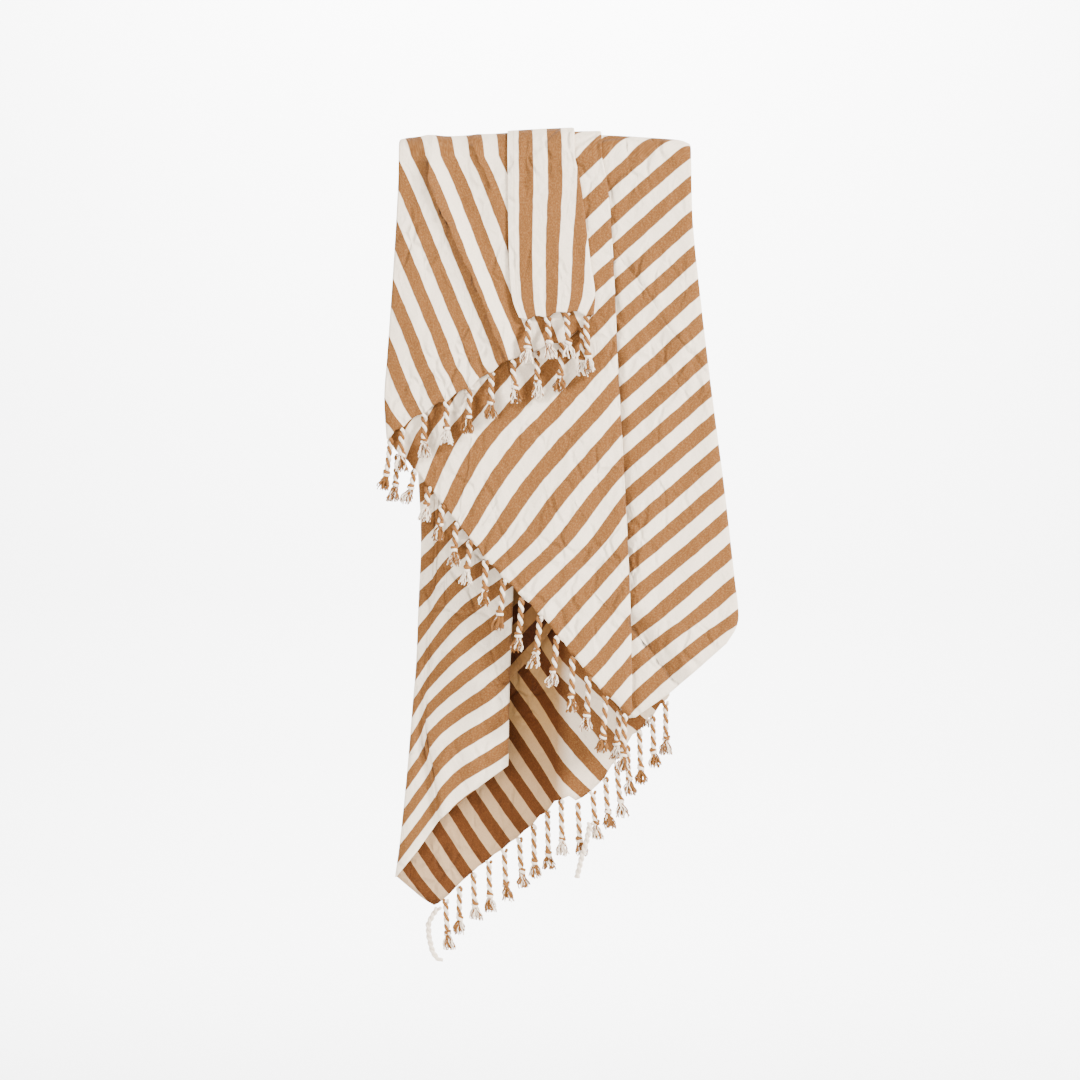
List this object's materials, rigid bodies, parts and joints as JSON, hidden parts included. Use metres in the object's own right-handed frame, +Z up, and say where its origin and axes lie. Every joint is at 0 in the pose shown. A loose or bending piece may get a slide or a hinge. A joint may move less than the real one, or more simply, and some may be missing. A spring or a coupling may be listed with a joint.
{
  "type": "hammam towel hanging in folds",
  "caption": "Striped flat-woven hammam towel with knotted tassels, hanging in loose diagonal folds from its top edge.",
  "frame": {"origin": "on the axis of the bar that the towel hangs over, at the middle of the gathered top edge", "axes": "+Z up, front towards -Y, +X to the right as seen from the front"},
  "size_m": [0.4234, 0.1456, 0.9888],
  "materials": {
    "striped_cotton": "matte",
    "tassel_cotton": "matte"
  },
  "bodies": {
    "root": {"towel_cloth": "striped_cotton", "front_fringe": "tassel_cotton", "back_fringe": "tassel_cotton"}
  },
  "joints": []
}
